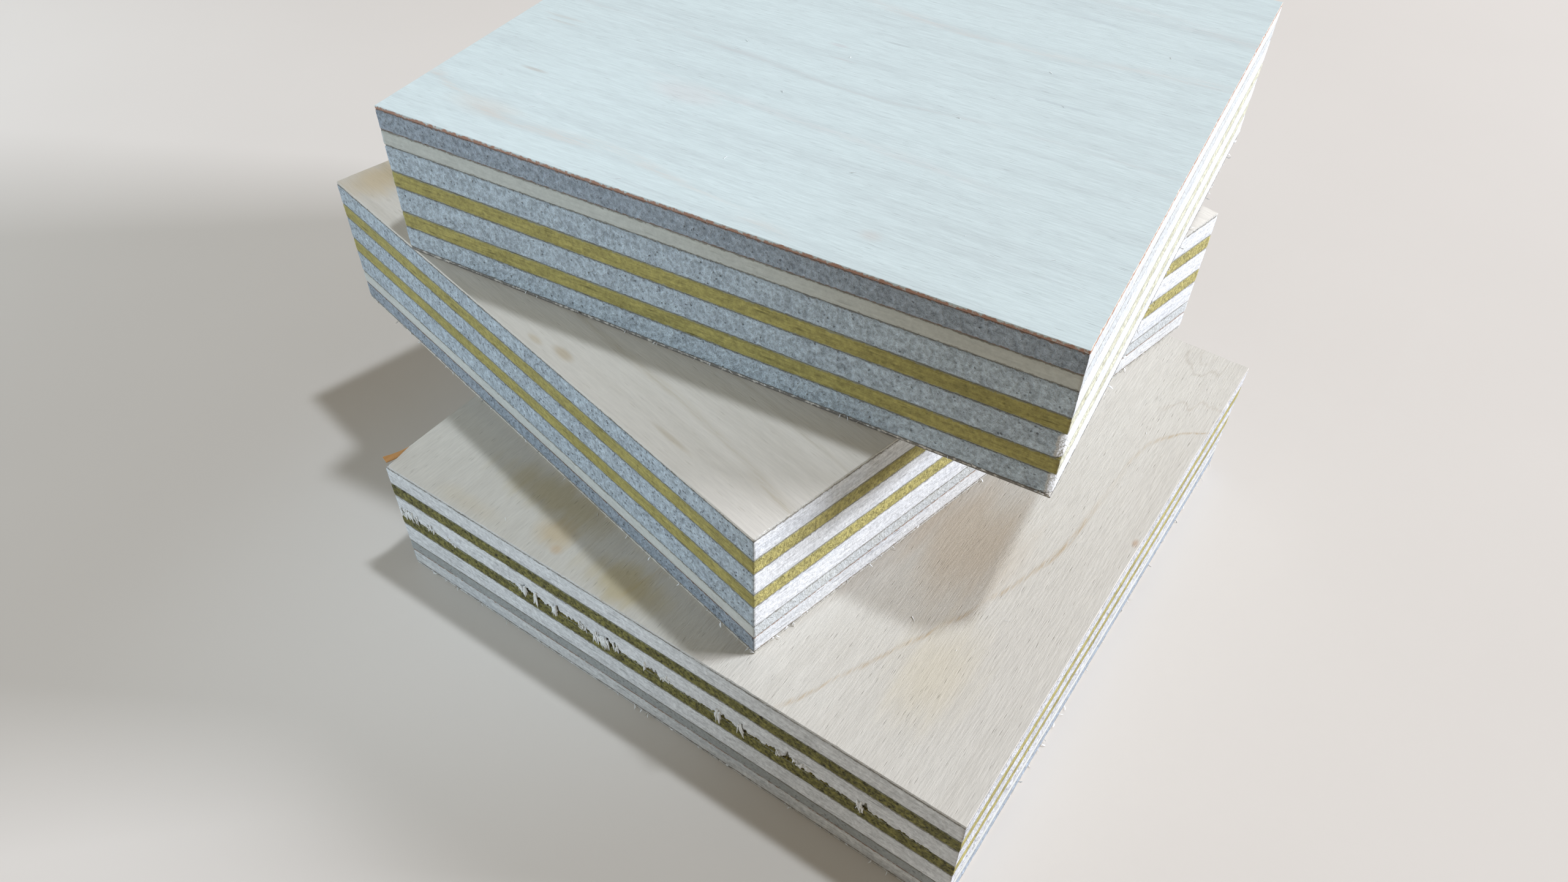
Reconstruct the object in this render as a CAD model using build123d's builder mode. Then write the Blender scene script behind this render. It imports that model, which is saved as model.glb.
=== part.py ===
from build123d import *
from collections import namedtuple
import os

# A stack of three square offcuts, all sawn from one nine-ply panel and laid flat on each other.
# Millimetres. Z = 0 is the surface that the stack lies on, and the origin is the middle of the
# bottom sheet's underside. The bottom sheet's sides run along X and Y.

# Thickness of the whole panel, and of its plies. The two core crossbands take up what is left.
PANEL_THICKNESS = 18.2
VENEER = 0.4
FACE_CROSSBAND = 2.8
BACK_CROSSBAND = 2.4
OLIVE_LONGBAND = 2.0
CREAM_LONGBAND = 1.8
OTHER_PLIES = 2 * VENEER + FACE_CROSSBAND + BACK_CROSSBAND + 2 * OLIVE_LONGBAND + CREAM_LONGBAND
CORE_CROSSBAND = (PANEL_THICKNESS - OTHER_PLIES) / 2

# Each sheet's length along its face grain and width across it
BOTTOM_LENGTH = 76.0
BOTTOM_WIDTH = 76.4
MIDDLE_LENGTH = 76.8
MIDDLE_WIDTH = 76.2
TOP_LENGTH = 77.0
TOP_WIDTH = 74.0

# Where the loose sheets lie: the middle of each one, seen from above, from the origin
MIDDLE_X = -17.7
MIDDLE_Y = 11.1
TOP_X = -10.8
TOP_Y = 18.6

# The face grain's direction in degrees, counterclockwise from X
BOTTOM_GRAIN = 90.0
MIDDLE_GRAIN = -12.1
TOP_GRAIN = 6.0

# Tear-out of the bottom sheet's second crossband, on the side that faces -Y: each tear's start,
# measured from the left-hand corner, its width, and its depth into the edge
TEARS = [
    (19.4, 3.6, 0.50),
    (24.2, 2.2, 0.35),
    (27.6, 1.5, 0.30),
    (31.2, 3.8, 0.60),
    (38.4, 1.8, 0.25),
    (47.6, 1.6, 0.45),
    (50.8, 1.1, 0.30),
    (56.2, 1.7, 0.50),
    (65.4, 1.4, 0.40),
]
TEAR_RISE = 0.75  # how far up each tear runs, as a share of the torn ply's thickness

# The top sheet's corner that points at the photographer, where the saw broke the crossbands
CORNER_BREAK = 0.6

# The sliver that has lifted off the bottom sheet's face veneer, at its left-hand corner
SLIVER_LENGTH = 3.6
SLIVER_WIDTH = 0.5

Ply = namedtuple("Ply", "name thickness")
Sheet = namedtuple("Sheet", "name length width x y grain plies")

# The panel from its face veneer to its back veneer. The crossbands' grain runs across the rest.
PANEL = [
    Ply("face_veneer", VENEER),
    Ply("crossband_1", FACE_CROSSBAND),
    Ply("olive_longband_1", OLIVE_LONGBAND),
    Ply("crossband_2", CORE_CROSSBAND),
    Ply("olive_longband_2", OLIVE_LONGBAND),
    Ply("crossband_3", CORE_CROSSBAND),
    Ply("cream_longband", CREAM_LONGBAND),
    Ply("crossband_4", BACK_CROSSBAND),
    Ply("back_veneer", VENEER),
]

# The sheets from the lowest to the highest, each with its plies from the lowest to the highest.
# The lower two lie face up. The top one has been turned over, so its face veneer lies below.
FACE_UP = list(reversed(PANEL))
FACE_DOWN = list(PANEL)
STACK = [
    Sheet("bottom_sheet", BOTTOM_LENGTH, BOTTOM_WIDTH, 0.0, 0.0, BOTTOM_GRAIN, FACE_UP),
    Sheet("middle_sheet", MIDDLE_LENGTH, MIDDLE_WIDTH, MIDDLE_X, MIDDLE_Y, MIDDLE_GRAIN, FACE_UP),
    Sheet("top_sheet", TOP_LENGTH, TOP_WIDTH, TOP_X, TOP_Y, TOP_GRAIN, FACE_DOWN),
]


def sheet_plane(sheet, height):
    """The level plane of a sheet at a height, with its X along the sheet's face grain."""
    return Plane(Location((sheet.x, sheet.y, height), (0, 0, sheet.grain)))


def lay_ply(sheet, ply, height):
    """Presses one ply up from its underside, with its four sides where the saw left them."""
    with BuildSketch(sheet_plane(sheet, height)) as outline:
        Rectangle(sheet.length, sheet.width)
    extrude(outline.sketch, amount=ply.thickness)


def tear_side(sheet, ply, height):
    """Takes a wedge out of the lower part of a ply's edge for each tear, deepest at the bottom."""
    level = sheet_plane(sheet, height)
    left_corner = level.from_local_coords((-sheet.length / 2, sheet.width / 2, 0))
    edge = Plane(origin=left_corner, x_dir=level.x_dir, z_dir=-level.y_dir)
    for start, width, depth in TEARS:
        with BuildSketch(edge.offset(start)) as wedge:
            with BuildLine():
                Polyline((0, 0), (depth, 0), (0, TEAR_RISE * ply.thickness), close=True)
            make_face()
        extrude(wedge.sketch, amount=width, mode=Mode.SUBTRACT)


def break_corner(sheet, piece):
    """Takes off the upright edge of a ply at the corner at the grain's +X end and -Y side."""
    corner = sheet_plane(sheet, 0).from_local_coords((sheet.length / 2, -sheet.width / 2, 0))
    upright = piece.edges().filter_by(Axis.Z).sort_by_distance(corner)[0]
    chamfer(upright, CORNER_BREAK)


def lift_sliver(sheet, ply, height):
    """Cuts the gap that a lifted sliver left, a thin wedge that starts at the left-hand corner."""
    corner = (-sheet.length / 2, sheet.width / 2)
    beside_corner = (corner[0], corner[1] - SLIVER_WIDTH)
    tip = (corner[0] + SLIVER_LENGTH, corner[1])
    with BuildSketch(sheet_plane(sheet, height)) as gap:
        with BuildLine():
            Polyline(corner, beside_corner, tip, close=True)
        make_face()
    extrude(gap.sketch, amount=ply.thickness, mode=Mode.SUBTRACT)


def finish_edges(sheet, ply, height, piece):
    """Adds the damage that this ply of this sheet shows."""
    place = (sheet.name, ply.name)
    if place == ("bottom_sheet", "crossband_2"):
        tear_side(sheet, ply, height)
    elif place == ("bottom_sheet", "face_veneer"):
        lift_sliver(sheet, ply, height)
    elif place in (("top_sheet", "crossband_1"), ("top_sheet", "crossband_2")):
        break_corner(sheet, piece)


os.makedirs("parts", exist_ok=True)
underside = 0.0
for sheet in STACK:
    for ply in sheet.plies:
        with BuildPart() as piece:
            lay_ply(sheet, ply, underside)
            finish_edges(sheet, ply, underside, piece)
        piece.part.label = f"{sheet.name}_{ply.name}"
        export_step(piece.part, f"parts/{piece.part.label}.step")
        underside += ply.thickness
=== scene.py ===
import math
import random
from collections import namedtuple

import bpy
from mathutils import Matrix, Vector, noise


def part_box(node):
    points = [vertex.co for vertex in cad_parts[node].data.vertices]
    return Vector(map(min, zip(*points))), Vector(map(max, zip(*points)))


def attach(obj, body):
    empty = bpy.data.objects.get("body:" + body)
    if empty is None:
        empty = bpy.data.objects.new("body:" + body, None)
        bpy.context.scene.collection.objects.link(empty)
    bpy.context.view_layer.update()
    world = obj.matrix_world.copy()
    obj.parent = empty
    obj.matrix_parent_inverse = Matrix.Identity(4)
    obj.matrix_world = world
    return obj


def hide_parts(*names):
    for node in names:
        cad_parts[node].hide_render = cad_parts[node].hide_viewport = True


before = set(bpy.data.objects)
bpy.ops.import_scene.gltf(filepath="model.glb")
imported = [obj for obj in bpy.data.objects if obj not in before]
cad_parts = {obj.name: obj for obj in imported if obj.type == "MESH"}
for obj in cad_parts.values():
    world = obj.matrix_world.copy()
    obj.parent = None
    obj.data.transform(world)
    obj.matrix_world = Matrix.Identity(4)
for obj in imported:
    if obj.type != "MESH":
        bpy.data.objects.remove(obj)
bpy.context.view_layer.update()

# A stack of three plywood offcuts. Each CAD ply is replaced by the same ply with sawn sides, and
# the damage that the saw did is added. Lengths are in metres, and MM turns millimetres into them.
MM = 0.001

# The sheets as they lie: length along the face grain, width across it, the middle, and the grain's
# direction in degrees counterclockwise from X
Sheet = namedtuple("Sheet", "name length width x y grain")
BOTTOM = Sheet("bottom_sheet", 76.0 * MM, 76.4 * MM, 0.0, 0.0, 90.0)
MIDDLE = Sheet("middle_sheet", 76.8 * MM, 76.2 * MM, -17.7 * MM, 11.1 * MM, -12.1)
TOP = Sheet("top_sheet", 77.0 * MM, 74.0 * MM, -10.8 * MM, 18.6 * MM, 6.0)
SHEETS = (BOTTOM, MIDDLE, TOP)


def linear(hex_colour):
    """An sRGB hex colour as the linear colour that a socket takes."""
    parts = [int(hex_colour[i : i + 2], 16) / 255 for i in (1, 3, 5)]
    return [c / 12.92 if c <= 0.04045 else ((c + 0.055) / 1.055) ** 2.4 for c in parts] + [1.0]


def add(tree, kind, inputs=(), **settings):
    """Adds a node with its settings and links. A node for an input means its first output."""
    node = tree.nodes.new(kind)
    for name, value in settings.items():
        setattr(node, name, value)
    for name, value in dict(inputs).items():
        socket = node.inputs[name]
        if isinstance(value, bpy.types.Node):
            value = next(output for output in value.outputs if output.enabled)
        if isinstance(value, bpy.types.NodeSocket):
            tree.links.new(value, socket)
        else:
            socket.default_value = value
    return node


def new_object(name, data):
    """An object of the scene at the origin."""
    made = bpy.data.objects.new(name, data)
    bpy.context.scene.collection.objects.link(made)
    return made


def new_material(name):
    """A material with an empty tree."""
    material = bpy.data.materials.new(name)
    material.use_nodes = True
    material.node_tree.nodes.clear()
    return material, material.node_tree


def new_tree(name, **inputs):
    """An empty geometry tree with named inputs, and the outputs of its input node."""
    tree = bpy.data.node_groups.new(name, "GeometryNodeTree")
    for label, kind in inputs.items():
        tree.interface.new_socket(name=label, in_out="INPUT", socket_type=f"NodeSocket{kind}")
    tree.interface.new_socket(name="Geometry", in_out="OUTPUT", socket_type="NodeSocketGeometry")
    return tree, add(tree, "NodeGroupInput").outputs


def close_tree(tree, shape, material):
    """Ends a geometry tree: real geometry, all of it in one material."""
    shape = add(tree, "GeometryNodeRealizeInstances", {"Geometry": shape})
    shape = add(tree, "GeometryNodeSetMaterial", {"Geometry": shape, "Material": material})
    add(tree, "NodeGroupOutput", {"Geometry": shape})


def grow(tree, name, base=None, **inputs):
    """Runs a geometry tree on a mesh with these inputs, and returns a plain object."""
    holder = new_object(name + "_holder", base or bpy.data.meshes.new(name + "_base"))
    modifier = holder.modifiers.new("shape", "NODES")
    modifier.node_group = tree
    for item in tree.interface.items_tree:
        if item.in_out == "INPUT" and item.name in inputs:
            modifier[item.identifier] = inputs[item.name]
    graph = bpy.context.evaluated_depsgraph_get()
    mesh = bpy.data.meshes.new_from_object(
        holder.evaluated_get(graph), preserve_all_data_layers=True, depsgraph=graph
    )
    bpy.data.objects.remove(holder)
    mesh.name = name
    return new_object(name, mesh)


GLUE_REACH = 0.5 * MM  # how far from a glue line the mesh still says how near it is
WEAR_REACH = 0.16 * MM  # how far from a ply's edges its sides are worn back
WELD = 0.001 * MM  # how near two points are that become one


def make_sawn_ply_tree():
    """A ply with its fibres along X, its underside at Z = 0 and its middle over the origin.

    Its four sides follow the outline with a section that is worn back at its edges, and the saw
    has left them rough: grainy across the ends of the fibres, streaky along them. Clear_Below
    and Clear_Above say how much further off than the ply's own edges its glue lines are.
    """
    tree, given = new_tree(
        "sawn ply", Length="Float", Width="Float", Thickness="Float", Cuts="Int", Levels="Int",
        Clear_Below="Float", Clear_Above="Float", Edge_Wear="Float", Roughness="Float",
        Chips="Float", Seed="Float", Material="Material",
    )

    # The section: rings close together at the ply's edges and further apart between them
    outline = add(
        tree, "GeometryNodeCurvePrimitiveQuadrilateral",
        {"Width": given["Length"], "Height": given["Width"]}, mode="RECTANGLE",
    )
    outline = add(tree, "GeometryNodeSubdivideCurve", {"Curve": outline, "Cuts": given["Cuts"]})
    section = add(tree, "GeometryNodeCurvePrimitiveLine", {"End": (0, -1, 0)})
    section = add(tree, "GeometryNodeResampleCurve", {"Curve": section, "Count": given["Levels"]})
    turn = add(
        tree, "ShaderNodeMath", {0: add(tree, "GeometryNodeSplineParameter"), 1: math.pi},
        operation="MULTIPLY",
    )
    turn = add(tree, "ShaderNodeMath", {0: turn}, operation="COSINE")
    rise = add(
        tree, "ShaderNodeMapRange",
        {"Value": turn, "From Min": 1.0, "From Max": -1.0, "To Max": -1.0},
    )
    drop = add(tree, "ShaderNodeMath", {0: rise, 1: given["Thickness"]}, operation="MULTIPLY")
    ring = add(tree, "ShaderNodeCombineXYZ", {"Y": drop})
    section = add(tree, "GeometryNodeSetPosition", {"Geometry": section, "Position": ring})
    sides = add(tree, "GeometryNodeCurveToMesh", {"Curve": outline, "Profile Curve": section})
    sides = add(tree, "GeometryNodeFlipFaces", {"Mesh": sides})

    # The two flat faces close the sides
    face = add(tree, "GeometryNodeFillCurve", {"Curve": outline}, mode="NGONS")
    height = add(tree, "ShaderNodeCombineXYZ", {"Z": given["Thickness"]})
    upper = add(tree, "GeometryNodeTransform", {"Geometry": face, "Translation": height})
    lower = add(tree, "GeometryNodeFlipFaces", {"Mesh": face})
    shell = add(tree, "GeometryNodeJoinGeometry")
    for part in (lower, upper, sides):
        tree.links.new(part.outputs[0], shell.inputs[0])
    shell = add(tree, "GeometryNodeMergeByDistance", {"Geometry": shell, "Distance": WELD})

    # Which way is out: a side's own axis, or both at a corner
    place = add(tree, "GeometryNodeInputPosition")
    x, y, z = add(tree, "ShaderNodeSeparateXYZ", {"Vector": place}).outputs
    out = {}
    for axis, along, size in (("X", x, given["Length"]), ("Y", y, given["Width"])):
        limit = add(
            tree, "ShaderNodeMath", {0: size, 1: 0.5, 2: -10 * WELD}, operation="MULTIPLY_ADD"
        )
        reach = add(tree, "ShaderNodeMath", {0: along}, operation="ABSOLUTE")
        on_side = add(tree, "ShaderNodeMath", {0: reach, 1: limit}, operation="GREATER_THAN")
        sign = add(tree, "ShaderNodeMath", {0: along}, operation="SIGN")
        out[axis] = add(tree, "ShaderNodeMath", {0: sign, 1: on_side}, operation="MULTIPLY")
    outward = add(tree, "ShaderNodeCombineXYZ", out)

    # How near the ply's own edges are, and how near its glue lines
    from_top = add(tree, "ShaderNodeMath", {0: given["Thickness"], 1: z}, operation="SUBTRACT")
    from_edge = add(tree, "ShaderNodeMath", {0: z, 1: from_top}, operation="MINIMUM")
    near_edge = add(
        tree, "ShaderNodeMapRange",
        {"Value": from_edge, "From Max": WEAR_REACH, "To Min": 1.0, "To Max": 0.0},
        interpolation_type="SMOOTHSTEP",
    )
    below = add(tree, "ShaderNodeMath", {0: z, 1: given["Clear_Below"]}, operation="ADD")
    above = add(tree, "ShaderNodeMath", {0: from_top, 1: given["Clear_Above"]}, operation="ADD")
    from_glue = add(tree, "ShaderNodeMath", {0: below, 1: above}, operation="MINIMUM")
    near_glue = add(
        tree, "ShaderNodeMapRange",
        {"Value": from_glue, "From Max": GLUE_REACH, "To Min": 1.0, "To Max": 0.0},
    )

    # Relief that is drawn out ten times along the fibres, and chips off the edges
    drawn_out = (0.1 / MM, 1 / MM, 1 / MM)
    grainy = add(tree, "ShaderNodeVectorMath", {0: place, 1: drawn_out}, operation="MULTIPLY")
    relief = add(
        tree, "ShaderNodeTexNoise",
        {"Vector": grainy, "W": given["Seed"], "Scale": 1.1, "Detail": 3.0, "Roughness": 0.6},
        noise_dimensions="4D",
    )
    relief = add(tree, "ShaderNodeMath", {0: relief, 1: 0.5}, operation="SUBTRACT")
    chip = add(
        tree, "ShaderNodeTexNoise",
        {"Vector": grainy, "W": given["Seed"], "Scale": 0.55, "Detail": 2.0},
        noise_dimensions="4D",
    )
    chip = add(
        tree, "ShaderNodeMapRange",
        {"Value": chip, "From Min": 0.58, "From Max": 0.75, "To Max": given["Chips"]},
        interpolation_type="SMOOTHSTEP",
    )
    wear = add(tree, "ShaderNodeMath", {0: chip, 1: given["Edge_Wear"]}, operation="ADD")
    rough = add(
        tree, "ShaderNodeMath", {0: relief, 1: given["Roughness"]}, operation="MULTIPLY"
    )
    wear = add(tree, "ShaderNodeMath", {0: wear, 1: -1.0}, operation="MULTIPLY")
    push = add(
        tree, "ShaderNodeMapRange", {"Value": near_edge, "To Min": rough, "To Max": wear}
    )
    offset = add(tree, "ShaderNodeVectorMath", {0: outward, "Scale": push}, operation="SCALE")

    shell = add(
        tree, "GeometryNodeStoreNamedAttribute",
        {"Geometry": shell, "Name": "near_glue", "Value": near_glue},
        data_type="FLOAT", domain="POINT",
    )
    shell = add(tree, "GeometryNodeSetPosition", {"Geometry": shell, "Offset": offset})
    upright = add(tree, "ShaderNodeSeparateXYZ", {0: add(tree, "GeometryNodeInputNormal")})
    steep = add(tree, "ShaderNodeMath", {0: upright.outputs["Z"]}, operation="ABSOLUTE")
    is_side = add(tree, "ShaderNodeMath", {0: steep, 1: 0.9}, operation="LESS_THAN")
    shell = add(tree, "GeometryNodeSetShadeSmooth", {"Geometry": shell, "Selection": is_side})
    close_tree(tree, shell, given["Material"])
    return tree


def make_loose_fibre_tree():
    """Torn fibres: a tapered, bent strand at every root, along its lie, as long as its reach."""
    tree, given = new_tree(
        "loose fibres", Roots="Geometry", Strand_Width="Float", Curl="Float", Seed="Int",
        Material="Material",
    )
    bend = add(tree, "ShaderNodeCombineXYZ", {"X": given["Curl"], "Z": 0.7})
    tip = add(tree, "ShaderNodeVectorMath", {0: bend, 1: (1.9, 0, 1.43)}, operation="MULTIPLY")
    strand = add(
        tree, "GeometryNodeCurvePrimitiveBezierSegment",
        {
            "Resolution": 5, "Start": (0, 0, 0), "Start Handle": (0, 0, 0.35),
            "End Handle": bend, "End": tip,
        },
    )
    along = add(tree, "GeometryNodeSplineParameter")
    radius = add(tree, "ShaderNodeMath", {0: along, 1: -0.8, 2: 1.0}, operation="MULTIPLY_ADD")
    section = add(
        tree, "GeometryNodeCurvePrimitiveQuadrilateral", {"Width": 1.0, "Height": 0.45},
        mode="RECTANGLE",
    )
    strand = add(
        tree, "GeometryNodeCurveToMesh",
        {"Curve": strand, "Profile Curve": section, "Scale": radius, "Fill Caps": True},
    )

    lie = add(tree, "GeometryNodeInputNamedAttribute", {"Name": "lie"}, data_type="FLOAT_VECTOR")
    reach = add(tree, "GeometryNodeInputNamedAttribute", {"Name": "reach"}, data_type="FLOAT")
    aim = add(tree, "FunctionNodeAlignRotationToVector", {"Vector": lie}, axis="Z")
    twist = add(
        tree, "FunctionNodeRandomValue",
        {"Min": (0, 0, 0), "Max": (0, 0, 2 * math.pi), "Seed": given["Seed"]},
        data_type="FLOAT_VECTOR",
    )
    twist = add(tree, "FunctionNodeEulerToRotation", {"Euler": twist})
    aim = add(tree, "FunctionNodeRotateRotation", {0: aim, 1: twist}, rotation_space="LOCAL")
    width = add(
        tree, "FunctionNodeRandomValue", {"Min": 0.5, "Max": 1.5, "Seed": given["Seed"]},
        data_type="FLOAT",
    )
    width = add(tree, "ShaderNodeMath", {0: width, 1: given["Strand_Width"]}, operation="MULTIPLY")
    size = add(tree, "ShaderNodeCombineXYZ", {"X": width, "Y": width, "Z": reach})
    strands = add(
        tree, "GeometryNodeInstanceOnPoints",
        {"Points": given["Roots"], "Instance": strand, "Rotation": aim, "Scale": size},
    )
    close_tree(tree, strands, given["Material"])
    return tree


# A kind of veneer: what it is, its colour along the fibres and on their cut ends, the colours of
# its broad streaks and of its pores, the pores' spacing in millimetres, how strong the pores and
# the fibres are, the colour of its glued edges, and how deep its furrows along the fibres and its
# pits across them are, in millimetres
# On the top sheet's lower veneer the colour of the glued edges is painted shadow.
Wood = namedtuple(
    "Wood", "kind along ends streak pore spacing pore_strength fibre_strength glue furrow pit"
)

# Poplar sapwood, peeled, and sawn with a coarse blade. Along its fibres it is white and silky.
# Across them it is a dull blue grey, rough and full of pits.
CROSSBAND = Wood(
    "sawn_poplar", "#dde0e0", "#c6d4dc", "#a3adb8", "#565c64",
    0.5, 0.6, 0.5, "#6a6455", 0.22, 0.6,
)
# The crossband under the back veneer is a darker piece of it, and the glue on it shows orange.
BACK_CROSSBAND = CROSSBAND._replace(along="#d6d8d6", ends="#abb7c1", glue="#7f5628")
# In the bottom sheet its ends are nearly white.
BOTTOM_CROSSBAND = CROSSBAND._replace(ends="#d8dadb", streak="#b4b6b6")
# Poplar heartwood, peeled and sawn: olive, with large dark pores. The saw has smeared its edges
# with pale fibres from the plies beside it. In the bottom sheet it is a darker piece.
OLIVE = Wood(
    "sawn_poplar_heartwood", "#ada360", "#b4ab6a", "#827d48", "#39351c",
    0.5, 0.8, 0.6, "#8e9184", 0.3, 0.35,
)
BOTTOM_OLIVE = OLIVE._replace(
    ends="#7b7740", streak="#504c28", pore_strength=0.95, fibre_strength=1.0
)
# On the top sheet its ends are nearly white: partly pale fibre that the saw dragged over them,
# partly a painted highlight of the strong light on that sheet's right side.
TOP_OLIVE_WITH_PAINTED_HIGHLIGHT = OLIVE._replace(ends="#cfcfb8")
# A cream ply of birch, peeled and sawn: fine and even, grey where its ends show
CREAM = Wood(
    "sawn_birch", "#c8cbc5", "#c3c8c7", "#c0c0b4", "#6d6a62",
    0.5, 0.25, 0.2, "#7d7a6e", 0.12, 0.3,
)
BOTTOM_CREAM = CREAM._replace(ends="#a2a6a4", streak="#9b9d98")
TOP_CREAM = CREAM._replace(along="#bdc0b8")
# Birch face veneers, peeled thin and sanded smooth: pale, with a faint silky grain
BOTTOM_FACE = Wood(
    "sanded_birch", "#c6c2b7", "#d6d6d1", "#b9b4a8", "#5a5142",
    0.22, 0.7, 0.1, "#5f5a4e", 0.05, 0.3,
)
MIDDLE_FACE = Wood(
    "sanded_birch", "#d2cdc2", "#c4c4bb", "#b8b2a4", "#81775f",
    0.3, 0.45, 0.07, "#6d6858", 0.03, 0.3,
)
# The top sheet's back veneer is pale cyan: a whiter veneer with a painted cool reflection of the
# light from above.
# Glue has soaked through the whole edge of the top sheet's back veneer, which is orange brown.
TOP_BACK = Wood(
    "sanded_birch", "#c6d3d1", "#c9c0ae", "#b3bcbb", "#8f908e",
    0.25, 0.5, 0.09, "#9c5208", 0.03, 0.2,
)
# Its face veneer, which lies below, has its whole edge painted nearly black: painted shadow under
# the top sheet's lower edge.
TOP_FACE_PAINTED_SHADE = MIDDLE_FACE._replace(glue="#2f2a24")

# The nodes that a wood's colour, marks and relief are made from
Grain = namedtuple("Grain", "place end flat fibres bundles pits pore")


def lay_grain(tree, sheet, across, wood):
    """The fibres and pores of a ply, in its own frame in millimetres.

    X lies along the fibres and Z through the sheet, so the same pores are dots where the saw cut
    across them, and dashes where it cut along.
    """
    turn = math.radians(sheet.grain + (90.0 if across else 0.0))
    object_place = add(tree, "ShaderNodeTexCoord")
    place = add(
        tree, "ShaderNodeMapping",
        {
            "Vector": object_place.outputs["Object"], "Location": (sheet.x, sheet.y, 0.0),
            "Rotation": (0.0, 0.0, turn), "Scale": (MM, MM, MM),
        },
        vector_type="TEXTURE",
    )

    # 1 where the saw cut across the fibres, 0 where it cut along them, and how rough it left them
    facing = add(
        tree, "ShaderNodeVectorMath",
        {0: object_place.outputs["Normal"], 1: (math.cos(turn), math.sin(turn), 0.0)},
        operation="DOT_PRODUCT",
    )
    facing = add(tree, "ShaderNodeMath", {0: facing}, operation="ABSOLUTE")
    end = add(
        tree, "ShaderNodeMapRange", {"Value": facing, "From Min": 0.45, "From Max": 0.8},
        interpolation_type="SMOOTHSTEP",
    )
    normal = add(tree, "ShaderNodeSeparateXYZ", {"Vector": object_place.outputs["Normal"]})
    flat = add(tree, "ShaderNodeMath", {0: normal.outputs["Z"]}, operation="ABSOLUTE")
    sawn = add(tree, "ShaderNodeMath", {0: flat, 1: -0.55, 2: 0.55}, operation="MULTIPLY_ADD")
    pitted = add(tree, "ShaderNodeMath", {0: end, 1: sawn}, operation="MAXIMUM")

    # Fibres 0.2 mm apart, bundles of them 2 mm across, and pits 0.5 mm across
    thin = add(tree, "ShaderNodeVectorMath", {0: place, 1: (0.09, 1, 1)}, operation="MULTIPLY")
    sockets = ("Vector", "Scale", "Detail", "Roughness")
    kinds = ((thin, 4.5, 5.0, 0.65), (thin, 0.5, 3.0, 0.55), (place, 1.9, 4.0, 0.72))
    fibres, bundles, pits = (
        add(tree, "ShaderNodeTexNoise", dict(zip(sockets, values))) for values in kinds
    )
    fibres = add(tree, "ShaderNodeMix", {"Factor": pitted, "A": fibres, "B": pits})

    # Pores: one in about two of three cells, up to half a cell wide, and out of line
    stir = add(tree, "ShaderNodeTexNoise", {"Vector": thin, "Scale": 1.4, "Detail": 1.0})
    porous = add(
        tree, "ShaderNodeVectorMath", {0: stir.outputs["Color"], 1: (0.0, 0.4, 0.4), 2: place},
        operation="MULTIPLY_ADD",
    )
    porous = add(tree, "ShaderNodeVectorMath", {0: porous, 1: (0.12, 1, 1)}, operation="MULTIPLY")
    cells = add(tree, "ShaderNodeTexVoronoi", {"Vector": porous, "Scale": 1.0 / wood.spacing})
    lucky = add(tree, "ShaderNodeSeparateColor", {"Color": cells.outputs["Color"]})
    size = add(
        tree, "ShaderNodeMapRange", {"Value": lucky, "From Min": 0.3, "To Max": 0.24}
    )
    inside = add(
        tree, "ShaderNodeMath", {0: size, 1: cells.outputs["Distance"]}, operation="SUBTRACT"
    )
    pore = add(
        tree, "ShaderNodeMapRange", {"Value": inside, "From Min": -0.1, "From Max": 0.16},
        interpolation_type="SMOOTHSTEP",
    )
    return Grain(place, end, flat, fibres, bundles, pits, pore)


def colour_wood(tree, wood, grain):
    """A wood's own colour, with its streaks and its fibres, before marks and pores."""
    colour = add(
        tree, "ShaderNodeMix",
        {"Factor": grain.end, "A": linear(wood.along), "B": linear(wood.ends)}, data_type="RGBA",
    )
    broad = add(
        tree, "ShaderNodeMapRange",
        {"Value": grain.bundles, "From Min": 0.42, "From Max": 0.7, "To Max": 0.3},
        interpolation_type="SMOOTHSTEP",
    )
    colour = add(
        tree, "ShaderNodeMix", {"Factor": broad, "A": colour, "B": linear(wood.streak)},
        data_type="RGBA",
    )
    shade = add(
        tree, "ShaderNodeMapRange",
        {
            "Value": grain.fibres, "From Min": 0.3, "From Max": 0.7,
            "To Min": 1.0 - wood.fibre_strength, "To Max": 1.0 + wood.fibre_strength * 0.7,
        },
    )
    return add(
        tree, "ShaderNodeMix", {"Factor": 1.0, "A": colour, "B": shade},
        data_type="RGBA", blend_type="MULTIPLY",
    )


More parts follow.
